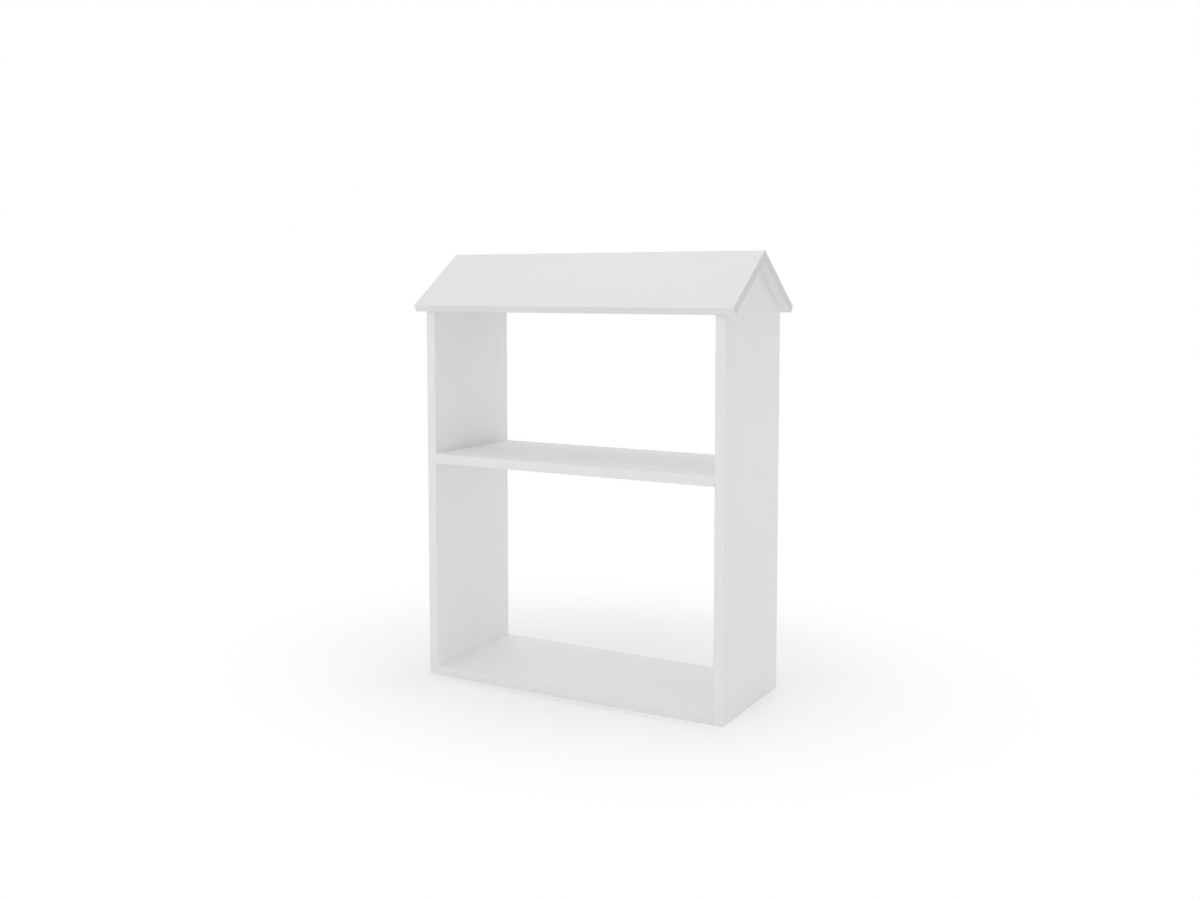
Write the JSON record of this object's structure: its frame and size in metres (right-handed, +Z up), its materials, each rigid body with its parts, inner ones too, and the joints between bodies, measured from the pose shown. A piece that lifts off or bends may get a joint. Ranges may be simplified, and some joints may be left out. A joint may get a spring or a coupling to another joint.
{
  "type": "house shaped bookcase",
  "caption": "Low open-backed bookcase for a child's room: gabled side panels, a bottom board, a shelf and a pitched roof of boards that meet at the ridge, all white.",
  "frame": {"origin": "on the floor, under the middle of the body", "axes": "+Z up; +Y towards the open back; +X to the right seen from the front"},
  "size_m": [0.702, 0.2938, 0.8675],
  "materials": {
    "white_board": "chipboard faced with white melamine, matt, fine pearl texture",
    "white_edge_band": "white ABS edging, scraped satin, corners rounded",
    "zinc_cam": "zinc die casting, dull grey",
    "plated_bolt": "bright zinc plating",
    "beech_dowel": "plain turned beech",
    "white_cap": "white moulded plastic, semi gloss"
  },
  "bodies": {
    "root": {"left_side_panel": "white_board", "right_side_panel": "white_board", "bottom_board": "white_board", "middle_shelf": "white_board", "front_roof_board": "white_board", "back_roof_board": "white_board", "left_side_front_band": "white_edge_band", "left_side_back_band": "white_edge_band", "right_side_front_band": "white_edge_band", "right_side_back_band": "white_edge_band", "bottom_front_band": "white_edge_band", "bottom_back_band": "white_edge_band", "shelf_front_band": "white_edge_band", "shelf_back_band": "white_edge_band", "front_roof_eave_band": "white_edge_band", "back_roof_eave_band": "white_edge_band", "front_roof_left_band": "white_edge_band", "front_roof_right_band": "white_edge_band", "back_roof_left_band": "white_edge_band", "back_roof_right_band": "white_edge_band", "bottom_cams": "zinc_cam", "shelf_cams": "zinc_cam", "front_roof_cams": "zinc_cam", "back_roof_cams": "zinc_cam", "bottom_cam_bolts": "plated_bolt", "shelf_cam_bolts": "plated_bolt", "front_roof_cam_bolts": "plated_bolt", "back_roof_cam_bolts": "plated_bolt", "bottom_dowels": "beech_dowel", "shelf_dowels": "beech_dowel", "front_roof_dowels": "beech_dowel", "back_roof_dowels": "beech_dowel", "shelf_cam_caps": "white_cap", "front_roof_cam_caps": "white_cap", "back_roof_cam_caps": "white_cap"}
  },
  "joints": []
}
